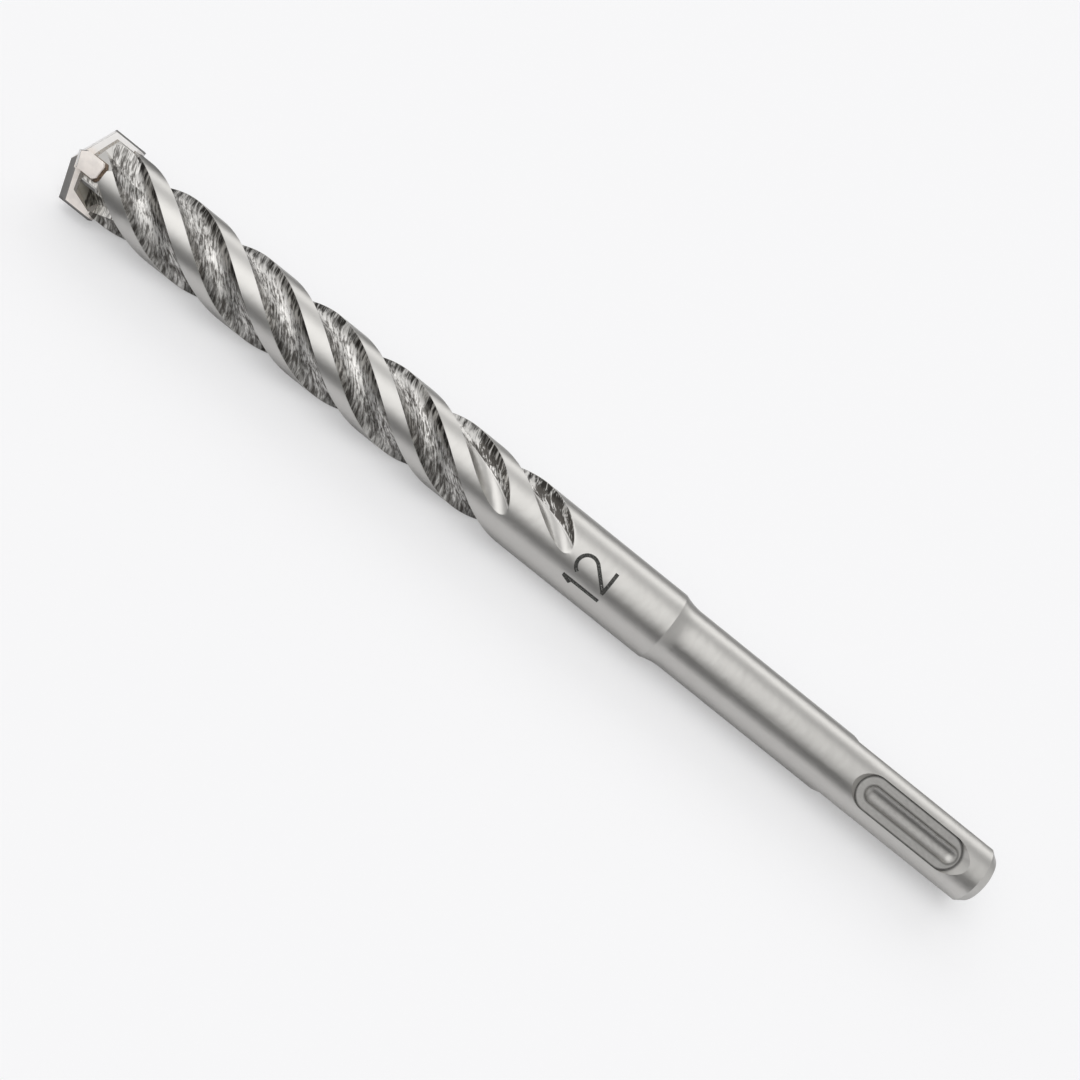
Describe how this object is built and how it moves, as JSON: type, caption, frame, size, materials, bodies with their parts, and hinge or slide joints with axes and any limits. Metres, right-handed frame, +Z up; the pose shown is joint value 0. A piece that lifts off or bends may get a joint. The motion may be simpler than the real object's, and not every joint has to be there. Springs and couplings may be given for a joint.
{
  "type": "hammer drill bit",
  "caption": "Masonry drill bit with cross-set carbide cutters, right-hand spiral flutes, plain neck and a slotted 10 mm hammer shank.",
  "frame": {"origin": "centre of the shank's striking face, on the bit's axis", "axes": "+X along the axis towards the cutting tip; +Z up as the bit lies at rest on its lands and neck, with the cutters turned 45 degrees from upright"},
  "size_m": [0.165, 0.0112, 0.0112],
  "materials": {
    "body_steel": "satin ground on the lands, neck and shank; rough-milled, streaked in the flutes",
    "cutter_carbide": "fine matt sintered grain, ground on its top and outer facets",
    "braze_film": "dull dark brown, heat-tinted"
  },
  "bodies": {
    "root": {"drill_body": "body_steel", "main_cutter": "cutter_carbide", "side_cutter_upper": "cutter_carbide", "side_cutter_lower": "cutter_carbide", "main_braze": "braze_film", "side_braze_upper": "braze_film", "side_braze_lower": "braze_film"}
  },
  "joints": []
}
